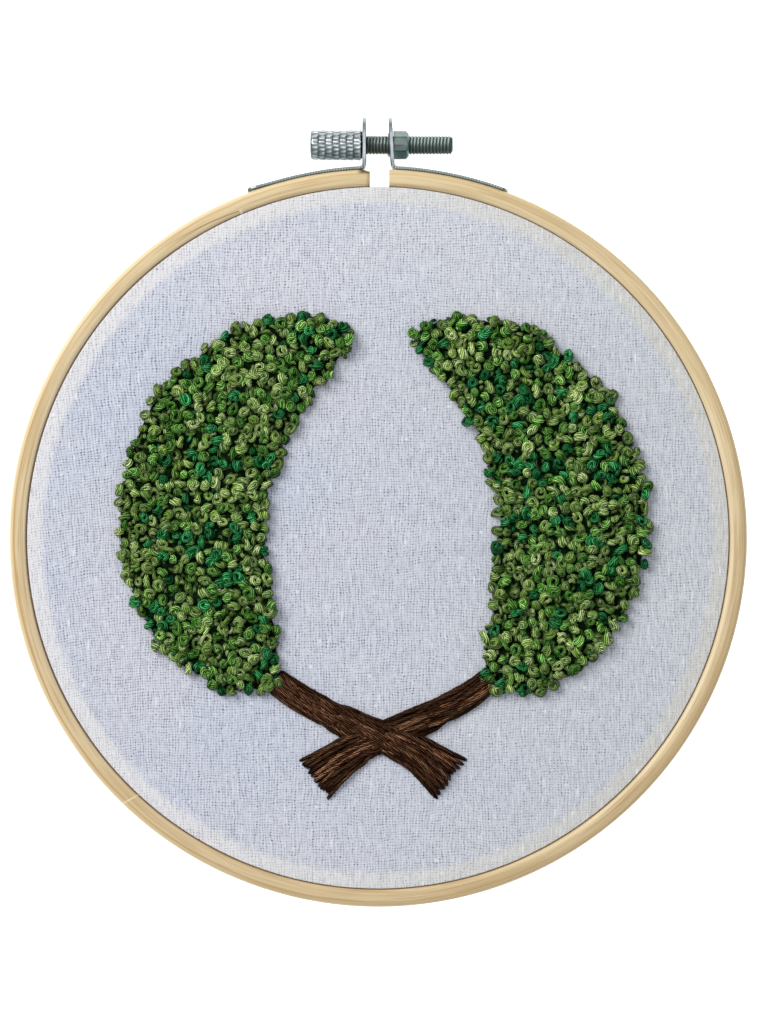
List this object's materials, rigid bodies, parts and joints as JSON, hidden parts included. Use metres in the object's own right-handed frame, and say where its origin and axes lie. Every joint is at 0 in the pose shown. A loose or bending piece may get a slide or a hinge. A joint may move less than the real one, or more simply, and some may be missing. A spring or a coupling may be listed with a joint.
{
  "type": "embroidery art in a wooden embroidery hoop",
  "caption": "Round embroidery of green knots and brown long stitches on white cotton, stretched in a split bamboo hoop closed by a thumb screw.",
  "frame": {"origin": "under the middle of the whole part, at the height of the hoop's back", "axes": "+Z out of the embroidered face, +Y from the middle of the hoop to the thumb screw, +X along the screw away from its knurled head"},
  "size_m": [0.165, 0.1764, 0.0114],
  "materials": {
    "bamboo": "bare, smooth, fine straight grain",
    "cotton_cloth": "matte open plain weave",
    "leaf_thread": "stranded cotton with a soft sheen",
    "bark_thread": "stranded cotton with a soft sheen",
    "steel": "zinc plated, satin"
  },
  "bodies": {
    "hoop": {"outer_hoop": "bamboo", "inner_hoop": "bamboo", "cloth": "cotton_cloth", "bracket_left": "steel", "bracket_right": "steel", "screw_nut": "steel", "foliage_left": "leaf_thread", "foliage_right": "leaf_thread", "stems": "bark_thread"},
    "screw": {"thumb_screw": "steel"}
  },
  "joints": [
    {"name": "screw_turn", "type": "hinge", "parent": "hoop", "child": "screw", "pos_m": [0, 0.0824, 0.00425], "axis": [1, 0, 0], "continuous": true}
  ]
}
